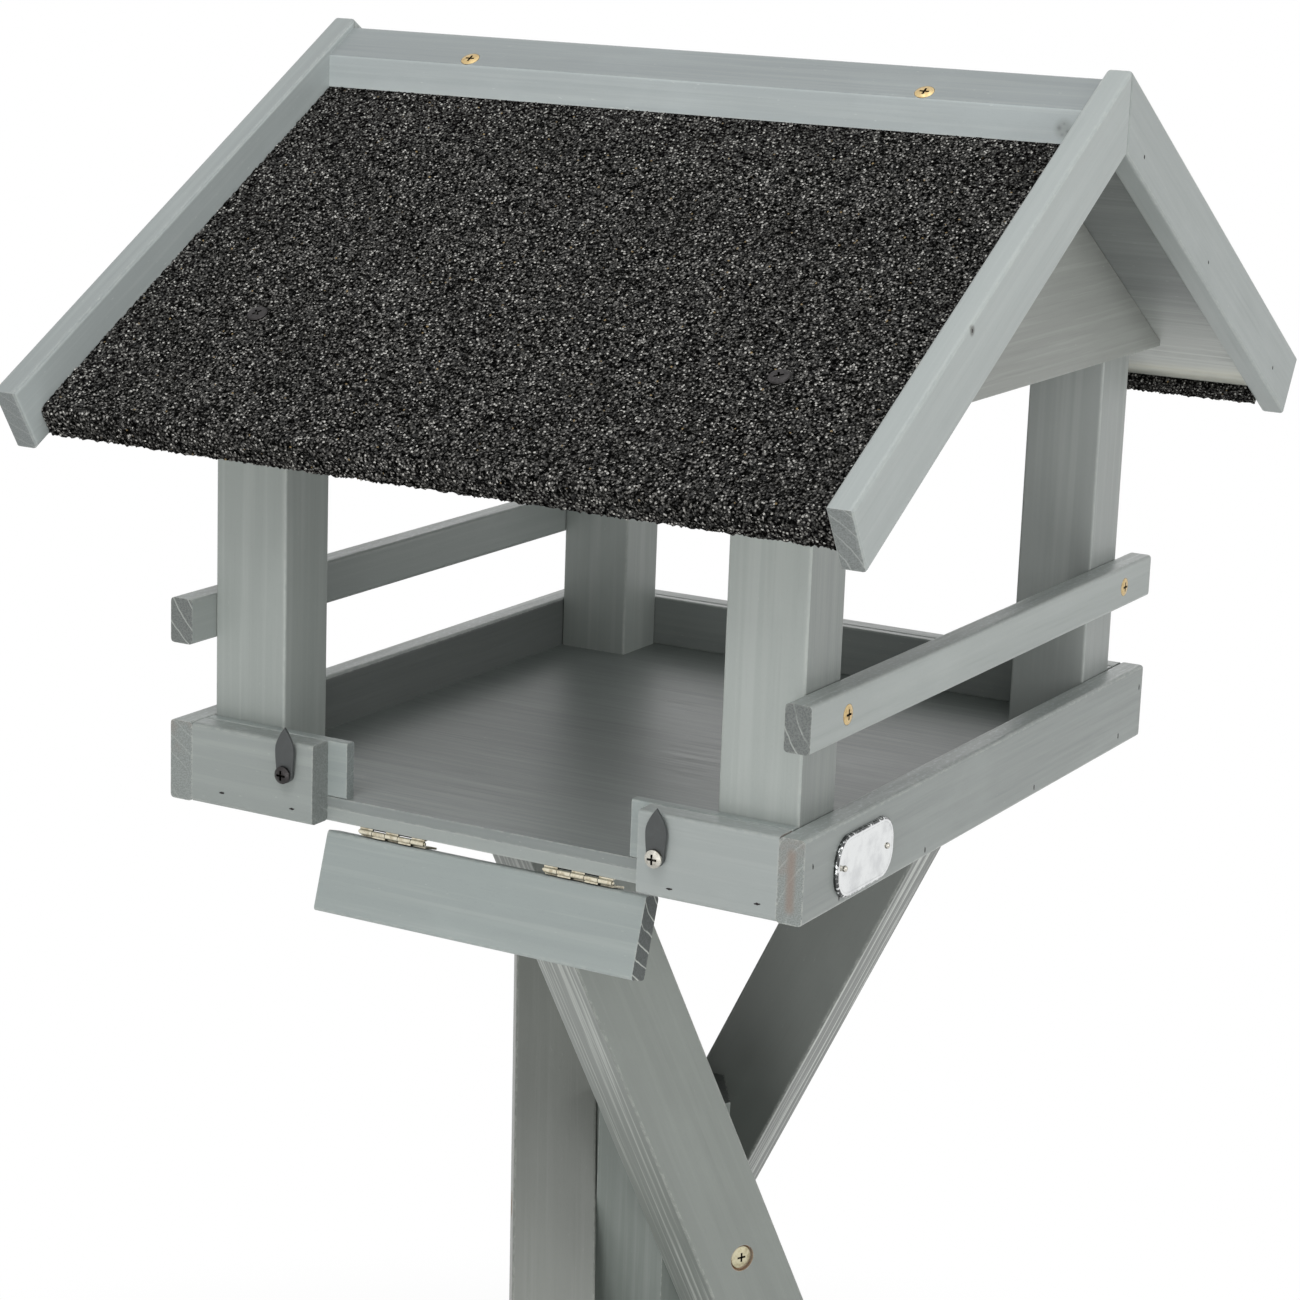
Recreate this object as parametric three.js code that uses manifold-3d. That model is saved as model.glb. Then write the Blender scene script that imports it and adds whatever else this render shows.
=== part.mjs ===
// Bird table: an open gabled house over a feeding tray, on a crossing three-legged stand.
// Millimetres. +Z is up, the front with the drop-down flap faces -Y, and the ridge runs along X.
import * as THREE from "three";
import { mergeVertices } from "three/addons/utils/BufferGeometryUtils.js";
import Module from "manifold-3d";

const wasm = await Module();
wasm.setup();

// Driving sizes of the tray
const trayWidth = 350;
const trayDepth = 408;
const trayHeight = 40;
const boardThickness = 13;
const openingWidth = 180;
const stopThickness = 6;
const stopReach = 11;
const floorThickness = 5.5;
const battenThickness = 6.5;
const battenWidth = 20;
const bearerWidth = 72;
const bearerGap = 2.5;

// Driving sizes of the posts and rails
const postWidth = 41.5;
const postDepth = 36;
const railHeight = 22.5;
const railRise = 79;

// Driving sizes of the roof, with depths measured square to the slope from the bargeboards' top edge
const roofPitch = THREE.MathUtils.degToRad(30.9);
const ridgeRise = 371.5;
const roofLength = 449;
const bargeLength = 322;
const bargeHeight = 33;
const bargeBevel = 2;
const panelLength = 308;
const panelThickness = 10;
const panelDepth = 20.5;
const feltThickness = 2.5;
const feltLapFront = 33.5;
const feltLapBack = 39;
const feltFoldRadius = 4;
const capHalfWidth = 23;
const capTopDepth = 3.4;
const gableRise = 217;
const gableInset = 10;

// Driving sizes of the flap, its hinges and its two turn buttons
const flapThickness = 12.5;
const flapSideGap = 1;
const flapRestAngle = THREE.MathUtils.degToRad(163);
const hingeLength = 37;
const hingeSpacing = 104;
const leafWidth = 12;
const leafThickness = 1;
const hingeDrop = 2.1;
const barrelRadius = 1.25;
const barrelBore = 0.85;
const pinRadius = 0.7;
const pinOverhang = 0.6;
const knuckleCount = 5;
const hingeClearance = 0.3;
const buttonReach = 23.3;
const buttonHalfWidth = 5.4;
const buttonBulge = 12;
const buttonEyeRadius = 4.4;
const buttonThickness = 1.2;
const buttonBevel = 0.4;
const buttonBore = 2.1;
const spacerThickness = 1.2;
const leftButtonInset = 14.5;
const leftButtonRise = 24;
const rightButtonInset = 11;
const rightButtonRise = 19.5;

// Driving sizes of the stand
const standHeight = 778;
const standShift = -5;
const legWidth = 48;
const legThickness = 44;
const legTilt = THREE.MathUtils.degToRad(25);
const legHeading = THREE.MathUtils.degToRad(63);
const legCount = 3;
const hubInradius = 34.5;
const hubHalfHeight = 67;
const hubSides = 6;

// Fasteners and edges
const gap = 0.3;
const edgeRadius = 2.2;
const postEdgeRadius = 1.5;
const legEdgeRadius = 1.8;
const screwHeadRadius = 4.8;
const screwHeadDepth = 3;
const screwShankRadius = 2.2;
const screwTipLength = 5;
const screwDome = 0.5;
const screwClearance = 0.2;
const railScrewLength = 38;
const capScrewLength = 22;
const capScrewDrop = 18.5;
const capScrewSpacing = 255;
const legScrewLength = 70;
const legScrewHeadRadius = 6;
const legScrewHeadDepth = 3.5;
const legScrewSink = 1.2;
const legScrewRoom = 1;
const buttonScrewLength = 14;
const buttonScrewShankRadius = 1.7;
const buttonScrewHeadRadius = 4.3;
const buttonScrewHeadHeight = 2.4;
const recessLength = 5;
const recessWidth = 1.1;
const recessDepth = 1.6;
const roundSegments = 24;
const cornerSegments = 4;

// Worked-out planes
const halfWidth = trayWidth / 2;
const halfDepth = trayDepth / 2;
const innerX = halfWidth - boardThickness;
const innerY = halfDepth - boardThickness;
const postFrontY = innerY - stopThickness;
const floorTop = battenThickness + floorThickness;
const halfOpening = openingWidth / 2;
const roofInnerX = roofLength / 2 - boardThickness;
const feltDepth = panelDepth - gap - feltThickness;
const roofUnderDepth = panelDepth + panelThickness;
const capBottomDepth = feltDepth - gap;
const hingeY = -innerY - hingeClearance;
const legRadius = hubInradius + gap + legThickness / 2;
const legSeat = legRadius + legThickness / 2 - legScrewSink;

// The front leg's top meets the middle of a bearer that lies just behind the front batten
const frontBearerY = -innerY + battenWidth + bearerGap + bearerWidth / 2;
const legRun = (standShift - frontBearerY - legRadius * Math.cos(legHeading)) / Math.sin(legHeading);
const crossingDrop = legRun / Math.tan(legTilt);

// Materials
const paint = { color: 0x8d989b, roughness: 0.55, metalness: 0 };
const feltLook = { color: 0x2c2b2a, roughness: 0.95, metalness: 0 };
const steel = { color: 0xb4b2ab, roughness: 0.35, metalness: 0.9 };
const brass = { color: 0xc9a767, roughness: 0.35, metalness: 0.9 };
const darkPlastic = { color: 0x4b5052, roughness: 0.5, metalness: 0 };

const alongX = new THREE.Matrix4().makeBasis(
  new THREE.Vector3(0, 1, 0), new THREE.Vector3(0, 0, 1), new THREE.Vector3(1, 0, 0));
const alongY = new THREE.Matrix4().makeBasis(
  new THREE.Vector3(0, 0, 1), new THREE.Vector3(1, 0, 0), new THREE.Vector3(0, 1, 0));
const facingFront = new THREE.Matrix4().makeBasis(
  new THREE.Vector3(1, 0, 0), new THREE.Vector3(0, 0, 1), new THREE.Vector3(0, -1, 0));

function piece(name, geometry, look, parent) {
  const mesh = new THREE.Mesh(geometry, new THREE.MeshStandardMaterial(look));
  mesh.name = name;
  parent.add(mesh);
  return mesh;
}

// Solids for cutting and joining
function solidOf(geometry) {
  const bare = geometry.clone();
  bare.deleteAttribute("normal");
  bare.deleteAttribute("uv");
  const merged = mergeVertices(bare);
  const vertProperties = new Float32Array(merged.attributes.position.array);
  const triVerts = new Uint32Array(merged.index.array);
  return new wasm.Manifold(new wasm.Mesh({ numProp: 3, vertProperties, triVerts }));
}

function geometryOf(solid) {
  const mesh = solid.getMesh();
  const geometry = new THREE.BufferGeometry();
  geometry.setAttribute("position", new THREE.BufferAttribute(new Float32Array(mesh.vertProperties), 3));
  geometry.setIndex(new THREE.BufferAttribute(new Uint32Array(mesh.triVerts), 1));
  geometry.computeVertexNormals();
  return geometry;
}

function joined(geometries) {
  return geometryOf(geometries.map(solidOf).reduce((sum, solid) => sum.add(solid)));
}

function without(geometry, tools) {
  return geometryOf(tools.map(solidOf).reduce((rest, tool) => rest.subtract(tool), solidOf(geometry)));
}

// Cuts a tool, given in the frame of the mesh's parent, out of the mesh
function cutFrom(mesh, tool) {
  mesh.updateMatrix();
  const local = tool.clone().applyMatrix4(mesh.matrix.clone().invert());
  mesh.geometry = without(mesh.geometry, [local]);
}

// An outline whose corners are rounded by their own radius
function roundedShape(corners) {
  const shape = new THREE.Shape();
  const count = corners.length;
  corners.forEach(({ point, radius }, index) => {
    const before = corners[(index + count - 1) % count].point;
    const after = corners[(index + 1) % count].point;
    const start = point.clone().add(before.clone().sub(point).setLength(radius));
    const end = point.clone().add(after.clone().sub(point).setLength(radius));
    if (index === 0) {
      shape.moveTo(start.x, start.y);
    } else {
      shape.lineTo(start.x, start.y);
    }
    if (radius > 0) {
      shape.quadraticCurveTo(point.x, point.y, end.x, end.y);
    }
  });
  shape.closePath();
  return shape;
}

function roundedBar(width, height, length, radius) {
  const corners = [[-1, -1], [1, -1], [1, 1], [-1, 1]].map(([x, y]) => ({
    point: new THREE.Vector2((x * width) / 2, (y * height) / 2),
    radius,
  }));
  const settings = { depth: length, bevelEnabled: false, curveSegments: cornerSegments };
  return new THREE.ExtrudeGeometry(roundedShape(corners), settings).translate(0, 0, -length / 2);
}

// A planed board between two corners, rounded along its grain
function board(name, low, high, grain, parent, radius = edgeRadius) {
  const size = high.map((value, axis) => value - low[axis]);
  const middle = high.map((value, axis) => (value + low[axis]) / 2);
  let bar;
  if (grain === "x") {
    bar = roundedBar(size[1], size[2], size[0], radius).applyMatrix4(alongX);
  } else if (grain === "y") {
    bar = roundedBar(size[2], size[0], size[1], radius).applyMatrix4(alongY);
  } else {
    bar = roundedBar(size[0], size[1], size[2], radius);
  }
  const mesh = piece(name, bar, paint, parent);
  mesh.position.set(...middle);
  return mesh;
}

// A section in the YZ plane, drawn out along X between two planes
function sectionAlongX(shape, fromX, toX) {
  const settings = { depth: toX - fromX, bevelEnabled: false, curveSegments: cornerSegments };
  return new THREE.ExtrudeGeometry(shape, settings).translate(0, 0, fromX).applyMatrix4(alongX);
}

// A point of the roof: a way down the slope and a depth under the bargeboards' top edge
function slopePoint(along, depth, side) {
  const y = along * Math.cos(roofPitch) - depth * Math.sin(roofPitch);
  const z = ridgeRise - along * Math.sin(roofPitch) - depth * Math.cos(roofPitch);
  return new THREE.Vector2(side * y, z);
}

// The way down the slope at which a depth meets the upright plane under the ridge
function mitre(depth) {
  return depth * Math.tan(roofPitch);
}

function heightUnderRoof(depth, y) {
  return ridgeRise - depth / Math.cos(roofPitch) - Math.abs(y) * Math.tan(roofPitch);
}

// Screws: a turned profile along Y with the head's seat plane at zero and the tip below
const smallHead = { radius: screwHeadRadius, depth: screwHeadDepth, room: screwClearance };
const largeHead = { radius: legScrewHeadRadius, depth: legScrewHeadDepth, room: legScrewRoom };

function woodScrew(length, head) {
  const profile = [
    new THREE.Vector2(0, -length),
    new THREE.Vector2(screwShankRadius, screwTipLength - length),
    new THREE.Vector2(screwShankRadius, -head.depth),
    new THREE.Vector2(head.radius, -screwDome),
    new THREE.Vector2(head.radius, 0),
    new THREE.Vector2(head.radius / 2, screwDome),
    new THREE.Vector2(0, screwDome),
  ];
  return withRecess(new THREE.LatheGeometry(profile, roundSegments), screwDome);
}

function panScrew(length, headRadius, headHeight, shankRadius) {
  const profile = [
    new THREE.Vector2(0, -length),
    new THREE.Vector2(shankRadius, screwTipLength - length),
    new THREE.Vector2(shankRadius, 0),
    new THREE.Vector2(headRadius, 0),
    new THREE.Vector2(headRadius, headHeight / 2),
    new THREE.Vector2(headRadius / 2, headHeight),
    new THREE.Vector2(0, headHeight),
  ];
  return withRecess(new THREE.LatheGeometry(profile, roundSegments), headHeight);
}

function withRecess(screw, top) {
  const slot = new THREE.BoxGeometry(recessLength, 2 * recessDepth, recessWidth).translate(0, top, 0);
  const crossSlot = new THREE.BoxGeometry(recessWidth, 2 * recessDepth, recessLength).translate(0, top, 0);
  return without(screw, [slot, crossSlot]);
}

function screwHole(length, head) {
  const wide = head.radius + head.room;
  const narrow = screwShankRadius + screwClearance;
  const profile = [
    new THREE.Vector2(0, -length - screwClearance),
    new THREE.Vector2(narrow, screwTipLength - length - screwClearance),
    new THREE.Vector2(narrow, -head.depth - screwClearance),
    new THREE.Vector2(wide, -screwDome - screwClearance),
    new THREE.Vector2(wide, head.depth),
    new THREE.Vector2(0, head.depth),
  ];
  return new THREE.LatheGeometry(profile, roundSegments);
}

// Sets a countersunk screw into the pieces that it holds together
function screwInto(name, seat, outward, length, head, look, parent, held) {
  const screw = piece(name, woodScrew(length, head), look, parent);
  screw.position.copy(seat);
  screw.quaternion.setFromUnitVectors(new THREE.Vector3(0, 1, 0), outward.clone().normalize());
  screw.updateMatrix();
  const hole = screwHole(length, head).applyMatrix4(screw.matrix);
  held.forEach((mesh) => cutFrom(mesh, hole));
}

// Tray: side boards run the full depth, with the front and back boards between them
function makeTray(house) {
  for (const [side, name] of [[-1, "left"], [1, "right"]]) {
    const [lowX, highX] = [side * innerX, side * halfWidth].sort((a, b) => a - b);
    board(`side_board_${name}`, [lowX, -halfDepth, 0], [highX, halfDepth, trayHeight], "y", house);
    const [frontLow, frontHigh] = [side * halfOpening, side * innerX].sort((a, b) => a - b);
    board(`front_board_${name}`, [frontLow, -halfDepth, 0], [frontHigh, -innerY, trayHeight], "x", house);
    const reachX = halfOpening - stopReach;
    const [stopLow, stopHigh] = [side * reachX, side * innerX].sort((a, b) => a - b);
    const stopSize = [[stopLow, -innerY, floorTop], [stopHigh, -postFrontY, trayHeight]];
    board(`flap_stop_${name}`, ...stopSize, "x", house, edgeRadius / 2);
  }
  board("back_board", [-innerX, innerY, 0], [innerX, halfDepth, trayHeight], "x", house);
  board("back_packing", [-innerX, postFrontY, floorTop], [innerX, innerY, trayHeight], "x", house,
    edgeRadius / 2);
  board("floor_panel", [-innerX, -innerY, battenThickness], [innerX, innerY, floorTop], "x", house, 0);
  const front = -innerY;
  const back = innerY;
  board("floor_batten_front", [-innerX, front, 0], [innerX, front + battenWidth, battenThickness], "x",
    house, 0);
  board("floor_batten_back", [-innerX, back - battenWidth, 0], [innerX, back, battenThickness], "x",
    house, 0);
  for (const [name, legIndexes] of [["front", [0]], ["back", [1, 2]]]) {
    const ys = legIndexes.map(legTopY);
    const middleY = ys.reduce((sum, y) => sum + y) / ys.length;
    board(`leg_bearer_${name}`, [-innerX, middleY - bearerWidth / 2, 0],
      [innerX, middleY + bearerWidth / 2, battenThickness], "x", house, 0);
  }
}

// How far back the middle of a leg's top lies
function legTopY(index) {
  const heading = legHeading + (index * 2 * Math.PI) / legCount;
  return standShift - legRun * Math.sin(heading) - legRadius * Math.cos(heading);
}

// Posts stand on the floor inside the side boards, cut to the roof's slope at the top
function makePosts(house) {
  const posts = {};
  const eaves = bargeLength + bargeHeight;
  const aboveRoof = new THREE.Shape([
    new THREE.Vector2(0, heightUnderRoof(roofUnderDepth + gap, 0)),
    slopePoint(eaves, roofUnderDepth + gap, 1),
    new THREE.Vector2(slopePoint(eaves, 0, 1).x, ridgeRise + eaves),
    new THREE.Vector2(slopePoint(eaves, 0, -1).x, ridgeRise + eaves),
    slopePoint(eaves, roofUnderDepth + gap, -1),
  ]);
  const roofTool = sectionAlongX(aboveRoof, -roofLength, roofLength);
  for (const [sideX, nameX] of [[-1, "left"], [1, "right"]]) {
    for (const [sideY, nameY] of [[-1, "front"], [1, "back"]]) {
      const [lowX, highX] = [sideX * innerX, sideX * (innerX - postWidth)].sort((a, b) => a - b);
      const [lowY, highY] = [sideY * postFrontY, sideY * (postFrontY - postDepth)].sort((a, b) => a - b);
      const name = `post_${nameY}_${nameX}`;
      const post = board(name, [lowX, lowY, floorTop], [highX, highY, ridgeRise], "z", house, postEdgeRadius);
      cutFrom(post, roofTool);
      posts[name] = post;
    }
  }
  return posts;
}

// Side rails on the outer faces of the posts, one screw into each post
function makeRails(house, posts) {
  for (const [side, name] of [[-1, "left"], [1, "right"]]) {
    const [lowX, highX] = [side * innerX, side * halfWidth].sort((a, b) => a - b);
    const rail = board(`side_rail_${name}`, [lowX, -halfDepth, railRise],
      [highX, halfDepth, railRise + railHeight], "y", house);
    for (const [end, place] of [[-1, "front"], [1, "back"]]) {
      const y = end * (postFrontY - postDepth / 2);
      const seat = new THREE.Vector3(side * halfWidth, y, railRise + railHeight / 2);
      const outward = new THREE.Vector3(side, 0, 0);
      const held = [rail, posts[`post_${place}_${name}`]];
      screwInto(`rail_screw_${place}_${name}`, seat, outward, railScrewLength, smallHead, steel, house, held);
    }
  }
}

function layerShape(top, bottom, length, side) {
  return new THREE.Shape([
    slopePoint(mitre(top), top, side),
    slopePoint(length, top, side),
    slopePoint(length, bottom, side),
    slopePoint(mitre(bottom), bottom, side),
  ]);
}

// Felt lies on its panel and laps down over the panel's lower end
function feltShape(side, lap) {
  const underside = feltDepth + feltThickness;
  const inner = panelLength + gap;
  const outer = inner + feltThickness;
  const sharp = (along, depth) => ({ point: slopePoint(along, depth, side), radius: 0 });
  return roundedShape([
    sharp(mitre(feltDepth) + gap, feltDepth),
    { point: slopePoint(outer, feltDepth, side), radius: feltFoldRadius },
    sharp(outer, lap),
    sharp(inner, lap),
    sharp(inner, underside),
    sharp(mitre(underside) + gap, underside),
  ]);
}

function bargeboard(fromX, side) {
  const settings = {
    depth: boardThickness - 2 * bargeBevel,
    bevelThickness: bargeBevel,
    bevelSize: bargeBevel,
    bevelOffset: -bargeBevel,
    bevelSegments: cornerSegments - 1,
  };
  const shape = layerShape(0, bargeHeight, bargeLength, side);
  return new THREE.ExtrudeGeometry(shape, settings).translate(0, 0, fromX + bargeBevel).applyMatrix4(alongX);
}

// Ridge cap: one length of timber, vee-cut underneath and bevelled on top, with upright sides
function capShape() {
  const top = (y) => new THREE.Vector2(y, heightUnderRoof(capTopDepth, y));
  const bottom = (y) => new THREE.Vector2(y, heightUnderRoof(capBottomDepth, y));
  return roundedShape([
    { point: top(-capHalfWidth), radius: edgeRadius / 2 },
    { point: bottom(-capHalfWidth), radius: 0 },
    { point: bottom(0), radius: 0 },
    { point: bottom(capHalfWidth), radius: 0 },
    { point: top(capHalfWidth), radius: edgeRadius / 2 },
    { point: top(0), radius: edgeRadius },
  ]);
}

function gableShape() {
  const end = halfDepth - gableInset;
  const depth = roofUnderDepth + gap;
  return new THREE.Shape([
    new THREE.Vector2(-end, gableRise),
    new THREE.Vector2(end, gableRise),
    new THREE.Vector2(end, heightUnderRoof(depth, end)),
    new THREE.Vector2(0, heightUnderRoof(depth, 0)),
    new THREE.Vector2(-end, heightUnderRoof(depth, end)),
  ]);
}

function makeRoof(house) {
  const cap = piece("ridge_cap", sectionAlongX(capShape(), -roofInnerX, roofInnerX), paint, house);
  for (const [side, name, lap] of [[-1, "front", feltLapFront], [1, "back", feltLapBack]]) {
    const panelShape = layerShape(panelDepth, roofUnderDepth, panelLength, side);
    const panel = piece(`roof_panel_${name}`, sectionAlongX(panelShape, -roofInnerX, roofInnerX), paint, house);
    const felt = piece(`roof_felt_${name}`, sectionAlongX(feltShape(side, lap), -roofInnerX, roofInnerX),
      feltLook, house);
    piece(`bargeboard_${name}_left`, bargeboard(-roofLength / 2, side), paint, house);
    piece(`bargeboard_${name}_right`, bargeboard(roofInnerX, side), paint, house);
    for (const [end, place] of [[-1, "left"], [1, "right"]]) {
      const y = side * capScrewDrop;
      const seat = new THREE.Vector3((end * capScrewSpacing) / 2, y, heightUnderRoof(capTopDepth, y));
      const outward = new THREE.Vector3(0, side * Math.sin(roofPitch), Math.cos(roofPitch));
      const held = [cap, felt, panel];
      screwInto(`cap_screw_${name}_${place}`, seat, outward, capScrewLength, smallHead, brass, house, held);
    }
  }
  piece("gable_board_left", sectionAlongX(gableShape(), -halfWidth, -innerX), paint, house);
  piece("gable_board_right", sectionAlongX(gableShape(), innerX, halfWidth), paint, house);
}

// One half of a butt hinge about X: a leaf on the side given, with a strap down to every second knuckle
function hingeHalf(side, firstKnuckle) {
  const pitch = hingeLength / knuckleCount;
  const leaf = new THREE.BoxGeometry(hingeLength, leafWidth, leafThickness);
  leaf.translate(0, (side * leafWidth) / 2, hingeDrop - leafThickness / 2);
  const knuckles = [];
  const notches = [];
  for (let index = 0; index < knuckleCount; index += 1) {
    const x = (index + 1 / 2) * pitch - hingeLength / 2;
    const own = index % 2 === firstKnuckle;
    const reach = barrelRadius + hingeClearance;
    if (own) {
      const barrel = new THREE.CylinderGeometry(barrelRadius, barrelRadius, pitch - hingeClearance,
        roundSegments);
      knuckles.push(barrel.rotateZ(Math.PI / 2).translate(x, 0, 0));
      const strap = new THREE.BoxGeometry(pitch - hingeClearance, leafThickness, hingeDrop);
      knuckles.push(strap.translate(x, (side * leafThickness) / 2, hingeDrop / 2));
    } else {
      const notch = new THREE.BoxGeometry(pitch + hingeClearance, 2 * reach, 2 * hingeDrop + leafThickness);
      notches.push(notch.translate(x, 0, 0));
    }
  }
  const bore = new THREE.CylinderGeometry(barrelBore, barrelBore, 2 * hingeLength, roundSegments);
  bore.rotateZ(Math.PI / 2);
  return without(joined([without(leaf, notches), ...knuckles]), [bore]);
}

function hingePin() {
  const pin = new THREE.CylinderGeometry(pinRadius, pinRadius, hingeLength + 2 * pinOverhang, roundSegments);
  return pin.rotateZ(Math.PI / 2);
}

// Flap: hung under the floor's front edge, it drops open and hangs by its own weight
function makeFlap(house) {
  const fixed = new THREE.Group();
  fixed.position.set(0, hingeY, -hingeDrop);
  house.add(fixed);
  const swinging = new THREE.Group();
  swinging.position.copy(fixed.position);
  swinging.rotation.x = flapRestAngle;
  house.add(swinging);
  const halfFlap = halfOpening - flapSideGap;
  const low = hingeDrop + gap;
  const inner = -(gap + hingeClearance) / 2;
  board("flap", [-halfFlap, inner - flapThickness, low], [halfFlap, inner, trayHeight + hingeDrop], "x",
    swinging);
  for (const [side, name] of [[-1, "left"], [1, "right"]]) {
    const x = (side * hingeSpacing) / 2;
    piece(`hinge_leaf_fixed_${name}`, hingeHalf(1, 0), steel, fixed).position.x = x;
    piece(`hinge_pin_${name}`, hingePin(), brass, fixed).position.x = x;
    piece(`hinge_leaf_flap_${name}`, hingeHalf(-1, 1), steel, swinging).position.x = x;
  }
}

// Turn button: a leaf-shaped plate on a spacer, which turns about its screw
function turnButton() {
  const side = buttonEyeRadius;
  const shoulder = buttonBulge - side;
  const plate = new THREE.Shape();
  plate.moveTo(0, buttonReach);
  plate.quadraticCurveTo(buttonHalfWidth, buttonBulge + side, buttonHalfWidth, buttonBulge);
  plate.quadraticCurveTo(buttonHalfWidth, shoulder, side, 0);
  plate.absarc(0, 0, side, 0, -Math.PI, true);
  plate.quadraticCurveTo(-buttonHalfWidth, shoulder, -buttonHalfWidth, buttonBulge);
  plate.quadraticCurveTo(-buttonHalfWidth, buttonBulge + side, 0, buttonReach);
  const settings = {
    depth: buttonThickness,
    bevelThickness: buttonBevel,
    bevelSize: buttonBevel,
    bevelOffset: -buttonBevel,
    bevelSegments: 1,
    curveSegments: cornerSegments + 1,
  };
  const leaf = new THREE.ExtrudeGeometry(plate, settings);
  leaf.translate(0, 0, spacerThickness + buttonBevel).applyMatrix4(facingFront);
  const reach = spacerThickness + buttonBevel + buttonThickness / 2;
  const spacer = new THREE.CylinderGeometry(side - buttonBevel, side - buttonBevel, reach, roundSegments);
  spacer.translate(0, -reach / 2, 0);
  const bore = new THREE.CylinderGeometry(buttonBore, buttonBore, buttonReach, roundSegments);
  return without(joined([leaf, spacer]), [bore]);
}

function makeButtons(house) {
  const face = -halfDepth;
  const seatDepth = spacerThickness + buttonThickness + 2 * buttonBevel + 2 * gap;
  for (const [side, x, rise] of [
    ["left", -halfOpening - leftButtonInset, leftButtonRise],
    ["right", halfOpening + rightButtonInset, rightButtonRise],
  ]) {
    const button = piece(`turn_button_${side}`, turnButton(), darkPlastic, house);
    button.position.set(x, face - gap, rise);
    const screwShape = panScrew(buttonScrewLength, buttonScrewHeadRadius, buttonScrewHeadHeight,
      buttonScrewShankRadius);
    const screw = piece(`button_screw_${side}`, screwShape, steel, house);
    screw.position.set(x, face - seatDepth, rise);
    screw.quaternion.setFromUnitVectors(new THREE.Vector3(0, 1, 0), new THREE.Vector3(0, -1, 0));
    screw.updateMatrix();
    const holeRadius = buttonScrewShankRadius + screwClearance;
    const hole = new THREE.CylinderGeometry(holeRadius, holeRadius, 2 * buttonScrewLength, roundSegments);
    cutFrom(house.getObjectByName(`front_board_${side}`), hole.applyMatrix4(screw.matrix));
  }
}

// Stand: three legs lean past one another and are screwed flat to a six-sided hub where they cross
function legGeometry() {
  const length = (2 * standHeight) / Math.cos(legTilt);
  const bar = roundedBar(legWidth, legThickness, length, legEdgeRadius);
  bar.rotateY(-legTilt);
  bar.translate(0, -legRadius, standHeight - crossingDrop);
  const side = 4 * standHeight;
  const above = new THREE.BoxGeometry(side, side, side).translate(0, 0, standHeight - gap + side / 2);
  const below = new THREE.BoxGeometry(side, side, side).translate(0, 0, -side / 2);
  return without(bar, [above, below]);
}

function makeStand(object) {
  const stand = new THREE.Group();
  stand.position.y = standShift;
  object.add(stand);
  const hubRadius = hubInradius / Math.cos(Math.PI / hubSides);
  const hubShape = new THREE.CylinderGeometry(hubRadius, hubRadius, 2 * hubHalfHeight, hubSides);
  hubShape.rotateX(Math.PI / 2);
  hubShape.rotateZ(legHeading + Math.PI / hubSides);
  const hub = piece("stand_hub", hubShape, paint, stand);
  hub.position.z = standHeight - crossingDrop;
  for (let index = 0; index < legCount; index += 1) {
    const turned = new THREE.Group();
    turned.rotation.z = legHeading + (index * 2 * Math.PI) / legCount;
    stand.add(turned);
    const leg = piece(`leg_${index + 1}`, legGeometry(), paint, turned);
    const seat = new THREE.Vector3(0, -legSeat, standHeight - crossingDrop);
    const outward = new THREE.Vector3(0, -1, 0);
    screwInto(`leg_screw_${index + 1}`, seat, outward, legScrewLength, largeHead, brass, turned, [leg]);
    const inHub = screwHole(legScrewLength, largeHead);
    turned.updateMatrix();
    const screw = turned.getObjectByName(`leg_screw_${index + 1}`);
    cutFrom(hub, inHub.applyMatrix4(screw.matrix).applyMatrix4(turned.matrix));
  }
}

// The origin is on the ground under the middle of the whole object
const object = new THREE.Group();
const house = new THREE.Group();
house.position.z = standHeight;
object.add(house);
makeTray(house);
makeRails(house, makePosts(house));
makeRoof(house);
makeFlap(house);
makeButtons(house);
makeStand(object);

const outline = new THREE.Box3().setFromObject(object);
const middle = outline.getCenter(new THREE.Vector3());
object.position.set(-middle.x, -middle.y, -outline.min.z);

export default object;
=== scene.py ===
import math
import random

import bmesh
import bpy
from mathutils import Matrix, Vector


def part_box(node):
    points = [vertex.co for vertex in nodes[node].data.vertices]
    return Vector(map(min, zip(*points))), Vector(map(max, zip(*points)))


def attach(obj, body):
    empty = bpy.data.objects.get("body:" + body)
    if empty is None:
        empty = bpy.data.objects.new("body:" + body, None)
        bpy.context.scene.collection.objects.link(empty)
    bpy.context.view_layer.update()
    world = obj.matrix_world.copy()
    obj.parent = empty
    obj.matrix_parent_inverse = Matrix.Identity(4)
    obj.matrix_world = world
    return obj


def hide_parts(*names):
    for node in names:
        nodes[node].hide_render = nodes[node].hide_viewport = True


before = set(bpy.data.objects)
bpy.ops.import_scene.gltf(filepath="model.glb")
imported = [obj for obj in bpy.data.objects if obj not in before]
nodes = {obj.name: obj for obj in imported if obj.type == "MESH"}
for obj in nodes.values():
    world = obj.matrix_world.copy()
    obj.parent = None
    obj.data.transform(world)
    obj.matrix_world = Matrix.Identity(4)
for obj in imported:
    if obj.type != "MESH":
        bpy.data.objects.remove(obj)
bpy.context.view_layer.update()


# Directions, places and sizes, in metres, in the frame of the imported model

RIGHT = Vector((1, 0, 0))
FRONT = Vector((0, -1, 0))
BACK = Vector((0, 1, 0))
UP = Vector((0, 0, 1))
PITCH = math.radians(30.9)
SLOPE_FRONT = Vector((0, math.cos(PITCH), math.sin(PITCH)))
SLOPE_BACK = Vector((0, math.cos(PITCH), -math.sin(PITCH)))
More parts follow.
